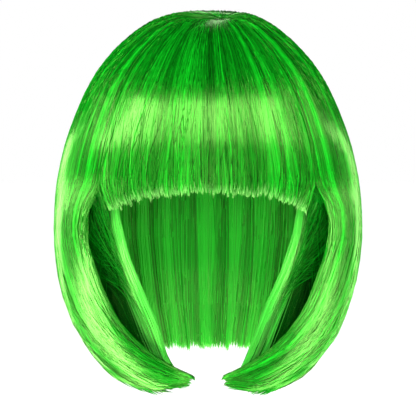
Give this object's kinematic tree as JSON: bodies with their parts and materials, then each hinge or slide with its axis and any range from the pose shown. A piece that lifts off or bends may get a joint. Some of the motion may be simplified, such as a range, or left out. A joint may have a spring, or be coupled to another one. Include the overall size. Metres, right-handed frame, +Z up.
{
  "type": "bob wig with fringe",
  "caption": "Chin-length bob wig in straight bright green fibre, with a full brow-length fringe, a whorl on the crown, and side curtains that curl in to points.",
  "frame": {"origin": "inside of the cap's crown, where it rests on the top of the wearer's head", "axes": "+Z up, -Y the way the wearer faces, +X the wearer's left"},
  "size_m": [0.2352, 0.2343, 0.2861],
  "materials": {
    "outer_fibre": "glossy straight synthetic fibre, bright green",
    "inner_fibre": "glossy straight synthetic fibre, bright green",
    "cap_net": "matt stretch net, dark green"
  },
  "bodies": {
    "root": {"cap": "cap_net", "fringe": "outer_fibre", "side_hair_left": "outer_fibre", "side_hair_right": "outer_fibre", "back_hair": "outer_fibre", "temple_lock_left": "inner_fibre", "temple_lock_right": "inner_fibre", "nape_hair": "inner_fibre"}
  },
  "joints": []
}
